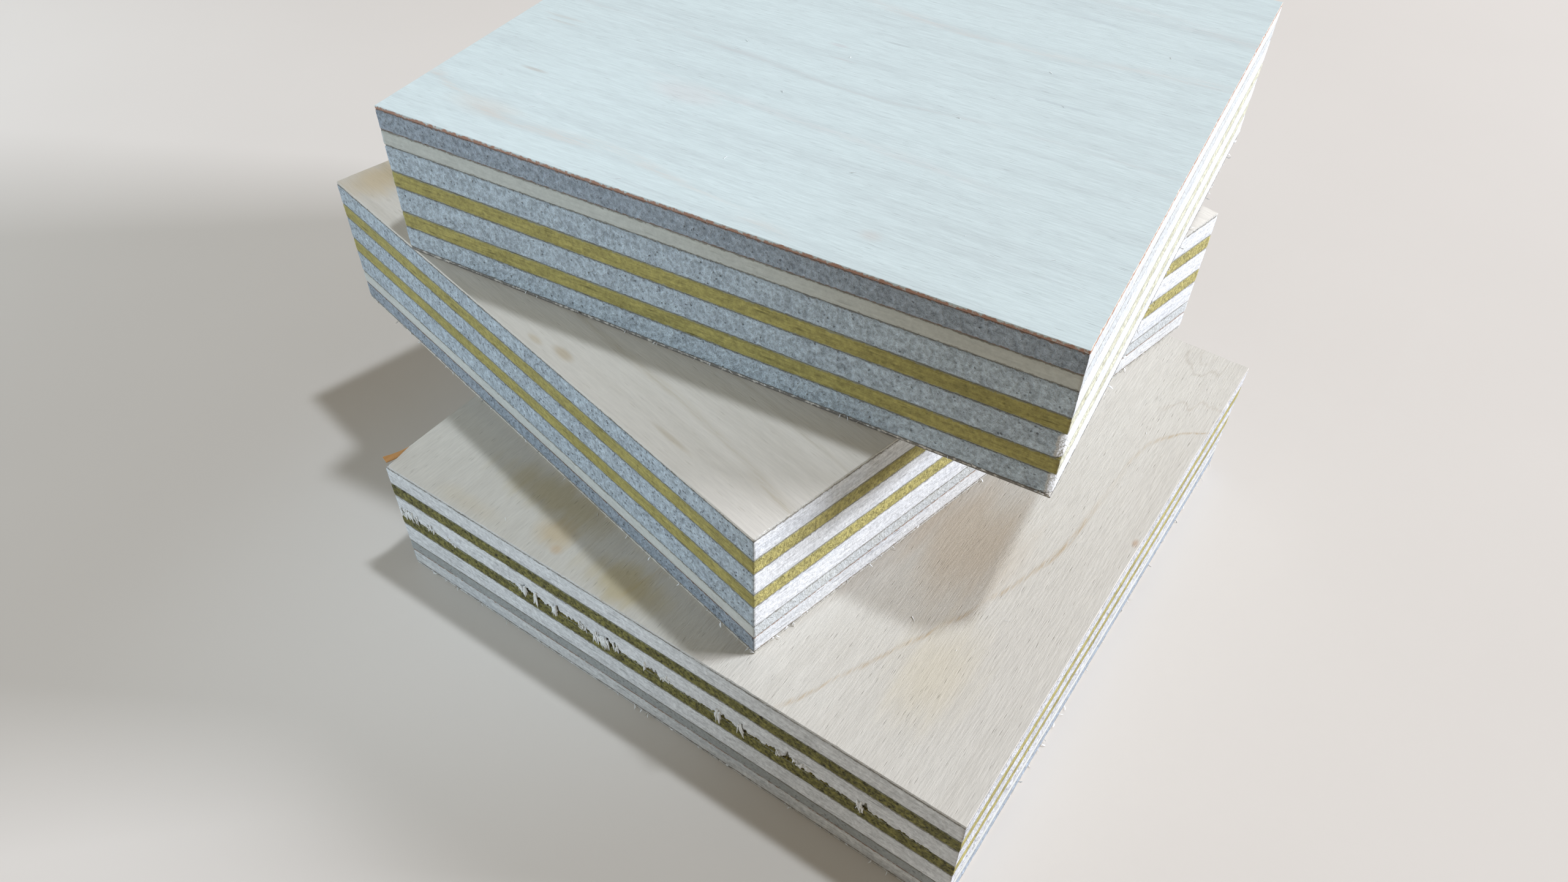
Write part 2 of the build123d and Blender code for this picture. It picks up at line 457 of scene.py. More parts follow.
def finish_wood(tree, wood, grain, colour):
    """Adds pores, glue and tears to a wood's colour, and gives it its relief and gloss."""
    depth = add(
        tree, "ShaderNodeMapRange",
        {"Value": grain.end, "To Min": wood.pore_strength * 0.4, "To Max": wood.pore_strength},
    )
    pores = add(tree, "ShaderNodeMath", {0: grain.pore, 1: depth}, operation="MULTIPLY")
    colour = add(
        tree, "ShaderNodeMix", {"Factor": pores, "A": colour, "B": linear(wood.pore)},
        data_type="RGBA",
    )

    # Torn fibres are raw and white, and a bare place in a tear is dark with glue, olive wood and
    # painted shade
    for name, hex_colour in (("torn", "#e9ebe9"), ("bare", "#55512f")):
        mark = add(tree, "ShaderNodeAttribute", attribute_name=name).outputs["Fac"]
        ragged = add(
            tree, "ShaderNodeMath", {0: grain.fibres, 1: mark, 2: mark}, operation="MULTIPLY_ADD"
        )
        mark = add(
            tree, "ShaderNodeMapRange", {"Value": ragged, "From Min": 0.45, "To Max": 0.85}
        )
        colour = add(
            tree, "ShaderNodeMix", {"Factor": mark, "A": colour, "B": linear(hex_colour)},
            data_type="RGBA",
        )

    # The glue soaks in for about a tenth of a millimetre, and comes and goes with the pits
    near = add(tree, "ShaderNodeAttribute", attribute_name="near_glue").outputs["Fac"]
    soak = add(
        tree, "ShaderNodeMath", {0: grain.pits, 1: 1.6, 2: near}, operation="MULTIPLY_ADD"
    )
    glue = add(
        tree, "ShaderNodeMapRange",
        {"Value": soak, "From Min": 1.45, "From Max": 1.72, "To Max": 0.75},
        interpolation_type="SMOOTHSTEP",
    )
    on_side = add(tree, "ShaderNodeMath", {0: grain.flat, 1: 0.95}, operation="LESS_THAN")
    glue = add(tree, "ShaderNodeMath", {0: glue, 1: on_side}, operation="MULTIPLY")
    colour = add(
        tree, "ShaderNodeMix", {"Factor": glue, "A": colour, "B": linear(wood.glue)},
        data_type="RGBA",
    )

    height = add(
        tree, "ShaderNodeMath", {0: grain.pore, 1: -0.45, 2: grain.fibres},
        operation="MULTIPLY_ADD",
    )
    relief = add(
        tree, "ShaderNodeMapRange",
        {"Value": grain.end, "To Min": wood.furrow * MM, "To Max": wood.pit * MM},
    )
    bump = add(tree, "ShaderNodeBump", {"Distance": relief, "Height": height})
    gloss = add(
        tree, "ShaderNodeMapRange", {"Value": grain.fibres, "To Min": 0.62, "To Max": 0.9}
    )
    shader = add(
        tree, "ShaderNodeBsdfPrincipled",
        {"Base Color": colour, "Roughness": gloss, "Normal": bump, "Specular IOR Level": 0.35},
    )
    add(tree, "ShaderNodeOutputMaterial", {"Surface": shader})


# Marks in a face veneer. Places are in millimetres from a sheet's left corner, along its front
# edge and back from it.
Line = namedtuple("Line", "places width colour strength start end")
Spot = namedtuple("Spot", "place radii colour strength")
Ring = namedtuple("Ring", "place radii width colour strength lower upper")

HALF_SPAN = 45.0  # half of the square that the lines' curves are drawn in, in millimetres
LINE_FADE = 6.0  # how long a line takes to fade at its ends, in millimetres
RING_FADE = 0.3  # the same for a ring, as a share of its radius


def fade(tree, strength, limits):
    """A mark's strength, weaker towards the first value of each limit and full past the second."""
    for source, none, full in limits:
        part = add(
            tree, "ShaderNodeMapRange", {"Value": source, "From Min": none, "From Max": full},
            interpolation_type="SMOOTHSTEP",
        )
        strength = add(tree, "ShaderNodeMath", {0: strength, 1: part}, operation="MULTIPLY")
    return strength


def on_veneer(sheet, place):
    """A place on a sheet in the frame of its face grain: along the fibres, and across them."""
    x, y = place
    if sheet is BOTTOM:
        return y - sheet.length / MM / 2, sheet.width / MM / 2 - x
    return x - sheet.length / MM / 2, y - sheet.width / MM / 2


def draw_line(tree, sheet, grain, line):
    """A growth line: a thin band that follows a curve along the grain and fades at its ends."""
    u, v, _ = add(tree, "ShaderNodeSeparateXYZ", {"Vector": grain.place}).outputs
    share = add(
        tree, "ShaderNodeMapRange", {"Value": u, "From Min": -HALF_SPAN, "From Max": HALF_SPAN}
    )
    curve = add(tree, "ShaderNodeFloatCurve", {"Value": share})
    points = sorted(on_veneer(sheet, spot) for spot in line.places)
    points = [(a / HALF_SPAN / 2 + 0.5, b / HALF_SPAN / 2 + 0.5) for a, b in points]
    drawn = curve.mapping.curves[0].points
    drawn[0].location, drawn[1].location = points[0], points[-1]
    for point in points[1:-1]:
        drawn.new(*point)
    curve.mapping.update()
    across = add(
        tree, "ShaderNodeMapRange", {"Value": curve, "To Min": -HALF_SPAN, "To Max": HALF_SPAN},
        clamp=False,
    )
    gap = add(tree, "ShaderNodeMath", {0: v, 1: across}, operation="SUBTRACT")
    # The bundles push the line to and fro, and the fibres break it up
    sway = add(
        tree, "ShaderNodeMapRange",
        {"Value": grain.bundles, "To Min": -0.9 * line.width, "To Max": 0.9 * line.width},
    )
    gap = add(tree, "ShaderNodeMath", {0: gap, 1: sway}, operation="ADD")
    gap = add(tree, "ShaderNodeMath", {0: gap}, operation="ABSOLUTE")
    band = add(
        tree, "ShaderNodeMapRange",
        {"Value": gap, "From Min": line.width / 2, "From Max": 0.0, "To Max": line.strength},
        interpolation_type="SMOOTHSTEP",
    )
    first, last = sorted(on_veneer(sheet, (spot, spot))[0] for spot in (line.start, line.end))
    ends = ((u, first, first + LINE_FADE), (u, last, last - LINE_FADE))
    return fade(tree, band, (*ends, (grain.fibres, 0.35, 0.6), (grain.bundles, 0.25, 0.6)))


def reach_of(tree, sheet, grain, middle, radii):
    """How far a point is from a mark's middle: 1 on the mark's edge, which the bundles roughen."""
    u, v = on_veneer(sheet, middle)
    along, across = radii[::-1] if sheet is BOTTOM else radii
    offset = add(
        tree, "ShaderNodeVectorMath", {0: grain.place, 1: (u, v, 0.0)}, operation="SUBTRACT"
    )
    offset = add(
        tree, "ShaderNodeVectorMath", {0: offset, 1: (1 / along, 1 / across, 0.0)},
        operation="MULTIPLY",
    )
    length = add(tree, "ShaderNodeVectorMath", {0: offset}, operation="LENGTH")
    rough = add(
        tree, "ShaderNodeMapRange", {"Value": grain.bundles, "To Min": -0.6, "To Max": 0.6}
    )
    return add(tree, "ShaderNodeMath", {0: length, 1: rough}, operation="ADD"), offset


def draw_spot(tree, sheet, grain, spot):
    """A soft patch of colour: a stain, and in some places painted shade."""
    reach, _ = reach_of(tree, sheet, grain, spot.place, spot.radii)
    return add(
        tree, "ShaderNodeMapRange",
        {"Value": reach, "From Min": 1.15, "From Max": 0.2, "To Max": spot.strength},
        interpolation_type="SMOOTHSTEP",
    )


def draw_ring(tree, sheet, grain, ring):
    """A thin ring round the middle of a cathedral or a small knot, between two heights."""
    reach, offset = reach_of(tree, sheet, grain, ring.place, ring.radii)
    gap = add(tree, "ShaderNodeMath", {0: reach, 1: 1.0}, operation="SUBTRACT")
    gap = add(tree, "ShaderNodeMath", {0: gap}, operation="ABSOLUTE")
    band = add(
        tree, "ShaderNodeMapRange",
        {"Value": gap, "From Min": ring.width, "From Max": 0.0, "To Max": ring.strength},
        interpolation_type="SMOOTHSTEP",
    )
    u = add(tree, "ShaderNodeSeparateXYZ", {"Vector": offset})
    ends = ((u, ring.lower, ring.lower + RING_FADE), (u, ring.upper, ring.upper - RING_FADE))
    return fade(tree, band, ends)


DRAWERS = {Line: draw_line, Spot: draw_spot, Ring: draw_ring}


def make_wood(name, sheet, across, wood, marks=()):
    """The material of a sheet's plies of one wood, with the marks that are their own."""
    material, tree = new_material(f"{name}_{wood.kind}")
    grain = lay_grain(tree, sheet, across, wood)
    colour = colour_wood(tree, wood, grain)
    for mark in marks:
        strength = DRAWERS[type(mark)](tree, sheet, grain, mark)
        colour = add(
            tree, "ShaderNodeMix", {"Factor": strength, "A": colour, "B": linear(mark.colour)},
            data_type="RGBA",
        )
    finish_wood(tree, wood, grain, colour)
    return material


TOP_MARKS = (
    Line(((30, 49), (45, 47), (56, 46.5), (66, 48), (77, 49.2)), 2.4, "#c3b6ac", 0.32, 28, 80),
    Line(
        ((0, 31.5), (8, 30.8), (27, 29.6), (42, 27.9), (55, 28.8), (77, 28.6)),
        1.3, "#a9a09c", 0.28, -8, 80,
    ),
    Line(
        ((0, 9.5), (10, 5.4), (20, 5.2), (26, 5.6), (36, 3.6), (44, 2.2)),
        2.0, "#c3ab98", 0.28, -6, 50,
    ),
    Line(((20, 20.5), (40, 19.8), (66, 17)), 2.4, "#c6b8b2", 0.22, 18, 66),
    Line(((50, 60), (62, 57), (77, 54.5)), 1.8, "#aab4b6", 0.3, 48, 82),
    Line(((0, 62), (30, 60), (50, 63), (77, 61)), 2.2, "#bfb2ac", 0.22, -8, 82),
    Spot((5.0, 26.2), (3.2, 0.35), "#a58d76", 0.2),
    Spot((5.5, 25.0), (2.8, 0.3), "#a58d76", 0.18),
    Spot((9.5, 14.5), (2.0, 0.35), "#a28468", 0.28),
    Spot((26.3, 18.5), (4.5, 2.2), "#ccbcb8", 0.22),
    Spot((10.0, 5.6), (5.0, 2.4), "#c6b29e", 0.2),
    Spot((54.5, 5.3), (1.5, 1.1), "#bfaca0", 0.25),
    Spot((41.0, 40.0), (2.0, 0.25), "#9aa09e", 0.4),
    Spot((37.5, 33.6), (2.2, 0.25), "#a89d9a", 0.3),
    Spot((35.5, 36.4), (1.4, 0.4), "#b29c9c", 0.22),
    Spot((62.0, 36.5), (5.0, 0.3), "#a2aaac", 0.3),
)
MIDDLE_MARKS = (
    Spot((44.9, 2.1), (1.8, 0.7), "#a68a50", 0.4),
    Spot((41.0, 1.2), (1.4, 0.5), "#b0955c", 0.3),
    Spot((3.0, 5.0), (4.5, 6.0), "#bfa25e", 0.45),
    Spot((12.0, 12.0), (6.0, 5.0), "#b8a880", 0.3),
    Line(((0, 6.5), (20, 5.5), (45, 7.0), (77, 5.0)), 1.6, "#a89c80", 0.4, -8, 82),
    Line(((0, 12.5), (30, 11.5), (60, 13.0), (77, 12.0)), 1.0, "#a39982", 0.4, -8, 82),
    Spot((62.0, 2.6), (3.5, 0.4), "#9f8d66", 0.35),
)
BOTTOM_MARKS = (
    Line(
        ((56.3, 1.8), (61.3, 12.5), (65.6, 21.8), (69.1, 32.5), (70.5, 45), (72, 57), (77, 61.8)),
        0.9, "#a08350", 0.55, -8, 72,
    ),
    Line(((34, 0), (37, 12), (38.5, 30)), 1.8, "#b09454", 0.35, -8, 40),
    Ring((76.5, 60.0), (7.0, 5.8), 0.08, "#a39683", 0.25, 0.2, 2.0),
    Ring((71.0, 74.6), (2.4, 3.8), 0.12, "#958a78", 0.25, -2.0, 0.2),
    Ring((71.2, 75.4), (1.0, 2.2), 0.3, "#a09686", 0.18, -2.0, 0.2),
    Spot((23.0, 4.0), (3.0, 2.6), "#b99848", 0.4),
    Spot((24.6, 2.2), (0.9, 0.7), "#b98f50", 0.3),
    Spot((12.0, 1.5), (6.0, 1.6), "#bca468", 0.15),
    # The next two spots are a yellow stain with painted warm shade over the band where the middle
    # sheet's shadow falls.
    Spot((20.0, 8.0), (11.0, 3.5), "#a08c4c", 0.5),
    Spot((34.0, 3.0), (7.0, 3.0), "#ab9650", 0.5),
    Spot((66.0, 12.0), (5.0, 9.0), "#c8b88c", 0.25),
    # A darker tan patch where the top sheet's corner throws its shadow: painted shade.
    Spot((60.0, 30.0), (8.0, 10.0), "#a88c62", 0.35),
    Spot((75.8, 40.0), (0.5, 0.9), "#a8825a", 0.5),
)

# Each ply's wood, and the slot for its finish. The ply that lies open on top of a sheet has that
# sheet's marks.
WOODS = {
    "crossband_4": (BACK_CROSSBAND, "pale_crossband"),
    "crossband": (CROSSBAND, "pale_crossband"),
    "olive": (OLIVE, "olive_longband"),
    "cream": (CREAM, "cream_longband"),
}
OWN_WOODS = {
    BOTTOM: {"crossband": BOTTOM_CROSSBAND, "olive": BOTTOM_OLIVE, "cream": BOTTOM_CREAM},
    MIDDLE: {},
    TOP: {"olive": TOP_OLIVE_WITH_PAINTED_HIGHLIGHT, "cream": TOP_CREAM},
}
FACES = {
    BOTTOM: (BOTTOM_FACE, BOTTOM_FACE, BOTTOM_MARKS),
    MIDDLE: (MIDDLE_FACE, MIDDLE_FACE, MIDDLE_MARKS),
    TOP: (TOP_FACE_PAINTED_SHADE, TOP_BACK, TOP_MARKS),
}
materials = {}
for sheet in SHEETS:
    for kind, (wood, slot) in WOODS.items():
        wood = OWN_WOODS[sheet].get(kind, wood)
        name = f"{sheet.name}_{kind}"
        materials[sheet, kind] = make_wood(name, sheet, kind.startswith("crossband"), wood)
    lower, upper, marks = FACES[sheet]
    materials[sheet, "hidden"] = make_wood(f"{sheet.name}_lower_veneer", sheet, False, lower)
    materials[sheet, "open"] = make_wood(f"{sheet.name}_upper_veneer", sheet, False, upper, marks)


def lay_of(sheet, across, height):
    """Where a ply with its fibres along X is laid."""
    turn = math.radians(sheet.grain + (90.0 if across else 0.0))
    return Matrix.Translation((sheet.x, sheet.y, height)) @ Matrix.Rotation(turn, 4, "Z")


def keep_piece(piece, slot, *nodes):
    """Puts a piece on the stack's one body and hides the CAD parts it replaces; slot is not used.
    """
    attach(piece, "root")
    if nodes:
        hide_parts(*nodes)


# The cuts in each side of a ply, the distance between its rings, and how many it has at least.
# The ply that the saw tore has more of both.
PLAIN_CUTS = 250
LEVEL_GAP = 0.33 * MM
FEWEST_LEVELS = 4
TORN_PLY = "bottom_sheet_crossband_2"
TORN_CUTS, TORN_LEVELS = 560, 20
EDGE_WEAR = 0.05 * MM
SAW_ROUGHNESS = 0.10 * MM
CHIP_DEPTH = 0.12 * MM
NO_GLUE = 10 * MM  # put between a veneer's open side and the glue that isn't there

sawn_ply_tree = make_sawn_ply_tree()
plies, slots = {}, {}
for number, node in enumerate(sorted(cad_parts)):
    sheet = next(s for s in SHEETS if node.startswith(s.name))
    ply = node[len(sheet.name) + 1 :]
    low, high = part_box(node)
    thickness = high.z - low.z
    clear_below = clear_above = 0.0
    if "veneer" in ply:
        is_open = ply == ("back_veneer" if sheet is TOP else "face_veneer")
        kind, slots[node] = "open" if is_open else "hidden", "face_veneer"
        clear_below, clear_above = (0.0, NO_GLUE) if is_open else (NO_GLUE, 0.0)
        # The top sheet's veneers take their edge colour over the whole edge: orange brown glue on
        # the upper one, painted shadow, nearly black, on the lower one.
        if sheet is TOP:
            clear_below = -thickness / 2
    else:
        kind = next(kind for kind in WOODS if ply.startswith(kind))
        slots[node] = WOODS[kind][1]
    across = kind.startswith("crossband")
    length, width = (sheet.width, sheet.length) if across else (sheet.length, sheet.width)
    cuts, levels = PLAIN_CUTS, max(FEWEST_LEVELS, round(thickness / LEVEL_GAP) + 2)
    if node == TORN_PLY:
        cuts, levels = TORN_CUTS, TORN_LEVELS
    piece = grow(
        sawn_ply_tree, node + "_sawn", Length=length, Width=width, Thickness=thickness,
        Cuts=cuts, Levels=levels, Clear_Below=clear_below, Clear_Above=clear_above,
        Edge_Wear=EDGE_WEAR, Roughness=SAW_ROUGHNESS, Chips=CHIP_DEPTH, Seed=float(number),
        Material=materials[sheet, kind],
    )
    piece.data.transform(lay_of(sheet, across, low.z))
    plies[node] = piece

# Tear-out of the bottom sheet's second crossband on its front side, in millimetres: where each
# tear starts from the left corner, its width, and its depth, as in the solids
TEARS = (
    (19.4, 3.6, 0.50), (24.2, 2.2, 0.35), (27.6, 1.5, 0.30), (31.2, 3.8, 0.60), (38.4, 1.8, 0.25),
    (47.6, 1.6, 0.45), (50.8, 1.1, 0.30), (56.2, 1.7, 0.50), (65.4, 1.4, 0.40),
)

# Where the ply's lower edge is frayed between the tears: start, end, and how high, as a share of
# the ply's thickness
FRAYED = (
    (0.0, 3.4, 0.30), (3.4, 19.0, 0.07), (19.0, 35.5, 0.20), (35.5, 46.0, 0.10),
    (46.0, 53.0, 0.16), (53.0, 60.5, 0.20), (60.5, 74.0, 0.12),
)
FRAY_DEPTH = 0.22  # in millimetres
TEAR_SHARE = 0.6  # how much of a tear's depth the ragged tear has
SKIN = 0.3 * MM  # how far behind a side's outline its own points lie at most

# Where its fibres are shredded white: start and end from the left corner, lower and upper edge
# as a share of the ply's thickness
SHREDDED = (
    (0.0, 8.0, 0.0, 0.5), (6.5, 18.0, 0.55, 1.0), (19.0, 25.6, 0.1, 0.9), (26.0, 33.0, 0.0, 0.35),
    (33.6, 39.0, 0.1, 0.6), (41.0, 49.0, 0.2, 0.8), (57.5, 62.0, 0.1, 0.6), (66.5, 72.0, 0.3, 0.9),
)


def smooth(value, low, high):
    """0 below low, 1 above high, and a smooth rise between them."""
    share = min(max((value - low) / (high - low), 0.0), 1.0)
    return share * share * (3 - 2 * share)


def tear_side(piece, sheet):
    """Tears a crossband's front side, and notes where it is torn white and where bare and shaded.
    """
    mesh = piece.data
    low = min(v.co.z for v in mesh.vertices)
    thickness = max(v.co.z for v in mesh.vertices) - low
    front = -sheet.length / 2
    mesh.attributes.new("torn", "FLOAT", "POINT")
    mesh.attributes.new("bare", "FLOAT", "POINT")
    torn, bare = mesh.attributes["torn"].data, mesh.attributes["bare"].data
    for vertex in mesh.vertices:
        if vertex.co.y > front + SKIN:
            continue
        along = (vertex.co.x + sheet.width / 2) / MM
        rise = (vertex.co.z - low) / thickness
        # Two waves along the edge, a slow and a quick one, make its fray and its tears ragged
        slow = noise.noise(Vector((along * 0.9, 0.0, 3.0)))
        quick = noise.noise(Vector((along * 3.1, 5.0, 0.0)))
        height = next((h for start, end, h in FRAYED if start <= along < end), 0.0)
        height *= 0.5 + 0.9 * slow + 0.8 * quick
        deep = FRAY_DEPTH
        for start, width, depth in TEARS:
            middle = abs(along - start - width / 2) / (width / 2)
            crown = (1.0 - smooth(middle, 0.3, 1.2)) * (0.26 + 0.25 * slow + 0.35 * quick)
            if crown > height:
                height, deep = crown, depth * TEAR_SHARE
        gone = smooth(height - rise, -0.02, 0.05)
        shred = 0.0
        ragged = noise.noise(Vector((along * 1.3, 0.0, rise * 2.0)))
        for start, end, bottom, top in SHREDDED:
            inside = smooth(along + 1.5 * ragged, start - 0.4, start + 0.4)
            inside *= 1 - smooth(along - 1.5 * ragged, end - 0.4, end + 0.4)
            inside *= smooth(rise + 0.2 * ragged, bottom - 0.08, bottom + 0.08)
            inside *= 1 - smooth(rise - 0.2 * ragged, top - 0.08, top + 0.08)
            shred = max(shred, inside)
        streak = noise.noise(Vector((along * 0.5, 7.0, rise * 9.0)))
        vertex.co.y += (gone * deep + shred * 0.04 * (1 + streak)) * MM
        torn[vertex.index].value = 0.35 * shred * (1 - gone)
        # Where the tear is deepest the ply is painted dark: glue and olive wood, with painted
        # shade for the deep recess.
        bare[vertex.index].value = gone


# How far the top sheet's front right corner is broken back, and the plies that the saw broke
# there, with the number of splinters on each
CORNER_BREAK = 0.6 * MM
SPLINTERS = (("top_sheet_crossband_2", 10), ("top_sheet_crossband_1", 8))


def break_corner(piece, sheet):
    """Breaks off a ply's upright edge at its sheet's front right corner."""
    mesh = piece.data
    lay = lay_of(sheet, False, 0.0)
    back = lay.inverted()
    torn = mesh.attributes.new("torn", "FLOAT", "POINT")
    for vertex in mesh.vertices:
        place = back @ vertex.co
        near = sheet.length / 2 - place.x + place.y + sheet.width / 2
        jag = 1.0 + 0.5 * noise.noise(Vector((0.0, 0.0, vertex.co.z / (0.6 * MM))))
        gap = CORNER_BREAK * jag - near
        if gap > 0:
            place.x -= gap / 2
            place.y += gap / 2
            vertex.co = lay @ place
        torn.data[vertex.index].value = smooth(gap / MM, -0.3, 0.1)


# The gap that the lifted sliver left, as in the solids
SLIVER_LENGTH = 3.6 * MM
SLIVER_WIDTH = 0.5 * MM


def part_sliver(piece, sheet):
    """Opens the gap that the lifted sliver left at the bottom sheet's left corner."""
    left, front = -sheet.width / 2, -sheet.length / 2
    for vertex in piece.data.vertices:
        along = 1 - (vertex.co.y - front) / SLIVER_LENGTH
        if vertex.co.x < left + SKIN and along > 0:
            vertex.co.x += SLIVER_WIDTH * along
        elif along > 0.98 and vertex.co.x < left + SLIVER_WIDTH:
            vertex.co.x = left + SLIVER_WIDTH * along


def blade(name, line, widths, thickness, across, material):
    """A thin blade of veneer along a line of points, as wide at each as widths says."""
    vertices, faces = [], []
    lift = Vector((0, 0, thickness / 2))
    for place, width in zip(line, widths):
        place, side = Vector(place), Vector(across) * width / 2
        vertices += [place - side - lift, place + side - lift]
        vertices += [place + side + lift, place - side + lift]
    for ring in range(len(line) - 1):
        for corner in range(4):
            here, there = ring * 4 + corner, ring * 4 + (corner + 1) % 4
            faces.append((here, there, there + 4, here + 4))
    last = 4 * (len(line) - 1)
    faces += [(3, 2, 1, 0), (last, last + 1, last + 2, last + 3)]
    mesh = bpy.data.meshes.new(name)
    mesh.from_pydata(vertices, [], faces)
    mesh.materials.append(material)
    return new_object(name, mesh)


# Where a fibre grows from, the way it lies, and how far it reaches
Root = namedtuple("Root", "place lie reach")


def root_mesh(name, roots):
    """Points where fibres grow from."""
    mesh = bpy.data.meshes.new(name)
    mesh.from_pydata([root.place for root in roots], [], [])
    mesh.attributes.new("lie", "FLOAT_VECTOR", "POINT")
    mesh.attributes.new("reach", "FLOAT", "POINT")
    lies, reaches = mesh.attributes["lie"].data, mesh.attributes["reach"].data
    for number, root in enumerate(roots):
        lies[number].vector = root.lie
        reaches[number].value = root.reach
    return mesh


def lay_roots(sheet, height, roots):
    """Roots from a sheet's own frame, laid where the sheet is."""
    lay = lay_of(sheet, False, height)
    turn = lay.to_3x3()
    return [Root(lay @ Vector(r.place), turn @ Vector(r.lie), r.reach) for r in roots]


# The tufts that hang from the second crossband over the olive ply below it, in millimetres: from
# the left corner, width, length, number of fibres
TUFTS = (
    (0.7, 0.9, 0.7, 9), (1.8, 1.0, 0.9, 12), (2.9, 0.6, 0.5, 6), (5.4, 1.2, 0.2, 6),
    (9.0, 1.6, 0.1, 6), (20.3, 1.1, 0.9, 16), (22.4, 0.5, 1.5, 9), (25.1, 0.8, 1.2, 13),
    (29.5, 1.3, 0.4, 12), (31.4, 0.8, 1.2, 14), (32.5, 1.0, 1.3, 20), (34.2, 0.8, 0.5, 8),
    (38.2, 0.4, 0.7, 4), (41.5, 1.8, 0.2, 9), (48.2, 0.7, 1.3, 12), (51.0, 0.4, 1.3, 6),
    (56.0, 0.7, 0.5, 7), (58.5, 1.9, 0.2, 9), (65.7, 0.7, 1.2, 11),
)


def hanging_tufts(sheet, chance):
    """The roots of the fibres that the saw pulled down over the ply below."""
    low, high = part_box(TORN_PLY)
    roots = []
    for start, width, reach, count in TUFTS:
        for _ in range(count):
            along = start + width * (chance.random() - 0.5)
            rise = chance.uniform(0.05, 0.45)
            place = (
                -sheet.width / 2 + along * MM,
                low.y - chance.uniform(0.0, 0.06) * MM,
                low.z + rise * (high.z - low.z),
            )
            lie = (chance.uniform(-0.25, 0.3), chance.uniform(-0.08, 0.0), -1.0)
            fall = (reach + rise * 2.2) * chance.uniform(0.5, 1.0) * MM
            roots.append(Root(place, lie, fall))
    return roots


WHISKER_LENGTH = 0.5 * MM


def whisker(sheet, chance):
    """The root of a short fibre at a sheet's edge, where the saw left the wood."""
    half = (sheet.length / 2, sheet.width / 2)
    side = chance.randrange(4)
    axis, sign = side % 2, 1 if side < 2 else -1
    place = [0.0, 0.0, 0.0]
    lie = [chance.uniform(-1, 1), chance.uniform(-1, 1), chance.uniform(-0.6, 0.4)]
    place[axis] = sign * half[axis]
    place[1 - axis] = chance.uniform(-1, 1) * half[1 - axis]
    lie[axis] = sign * chance.uniform(0.3, 1.0)
    return Root(place, lie, WHISKER_LENGTH * chance.uniform(0.3, 1.0))


def splinter(sheet, node, chance):
    """The root of a splinter at a ply's broken corner."""
    low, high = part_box(node)
    share = chance.random()
    place = (
        sheet.length / 2 - share * CORNER_BREAK,
        -sheet.width / 2 + (1 - share) * CORNER_BREAK,
        chance.uniform(low.z, high.z),
    )
    lie = (chance.uniform(0.1, 1.0), chance.uniform(-1.0, -0.2), chance.uniform(-0.8, 0.5))
    return Root(place, lie, chance.uniform(0.1, 0.35) * MM)


def sawdust(sheet, chance):
    """The root of a fibre that lies loose on a sheet."""
    along, across = chance.uniform(-0.48, 0.48), chance.uniform(-0.48, 0.48)
    place = (along * sheet.length, across * sheet.width, 0.02 * MM)
    lie = (chance.uniform(-1, 1), chance.uniform(-1, 1), 0.03)
    return Root(place, lie, chance.uniform(0.15, 0.7) * MM)


tear_side(plies[TORN_PLY], BOTTOM)
for node, _ in SPLINTERS:
    break_corner(plies[node], TOP)
part_sliver(plies["bottom_sheet_face_veneer"], BOTTOM)
for node, piece in plies.items():
    keep_piece(piece, slots[node], node)

# Raw fibres have no glue and no pores to speak of, only their own white
RAW_FIBRE = CROSSBAND._replace(
    kind="raw_poplar", along="#eceeec", ends="#eceeec", streak="#dfe3e4",
    pore_strength=0.1, fibre_strength=0.15, furrow=0.03, pit=0.03,
)
# Whiskers stand round the veneer in sight, and dust lies on the two highest faces. Heights are in
# millimetres, and the dust's last number is a count.
WHISKER_HEIGHTS = (0.4, 18.6, 36.8)
WHISKER_COUNT = 130
DUST = ((BOTTOM, 18.2, 16), (TOP, 54.6, 22))
loose_fibre_tree = make_loose_fibre_tree()
chance = random.Random(18)
splinters = [splinter(TOP, node, chance) for node, count in SPLINTERS for _ in range(count)]
# Each kind of loose fibre: its sheet, its roots, its width in millimetres, and how much it curls
LOOSE = {
    "hanging_fibres": (BOTTOM, hanging_tufts(BOTTOM, chance), 0.26, 0.25),
    "corner_fuzz": (TOP, lay_roots(TOP, 0.0, splinters), 0.07, 2.0),
}
for sheet, height in zip(SHEETS, WHISKER_HEIGHTS):
    roots = [whisker(sheet, chance) for _ in range(WHISKER_COUNT)]
    LOOSE[f"{sheet.name}_whiskers"] = (sheet, lay_roots(sheet, height * MM, roots), 0.045, 3.0)
for sheet, height, count in DUST:
    roots = [sawdust(sheet, chance) for _ in range(count)]
    LOOSE[f"{sheet.name}_dust"] = (sheet, lay_roots(sheet, height * MM, roots), 0.06, 0.0)
for number, (name, (sheet, roots, width, curl)) in enumerate(LOOSE.items()):
    piece = grow(
        loose_fibre_tree, name, root_mesh(name + "_roots", roots), Strand_Width=width * MM,
        Curl=curl, Seed=number, Material=make_wood(name, sheet, True, RAW_FIBRE),
    )
    keep_piece(piece, "pale_crossband")

# The lifted sliver is held at its far end, and its back is still orange with glue.
SLIVER_STEPS = 8
SLIVER_HOLD = 0.15 * MM  # how far inside the sheet's side it is held
SLIVER_LEAN = 0.5 * MM  # how far its tip has come out
SLIVER_RISE = 0.5 * MM  # and how far it has come up
SLIVER_BASE = 18.0 * MM  # how high it starts
SLIVER_THICKNESS = 0.14 * MM
SLIVER_ACROSS = (0.5, 0.0, -0.86)
SLIVER_WOOD = BOTTOM_FACE._replace(along="#cf9a5e", ends="#c99a62", streak="#dcc4a0")

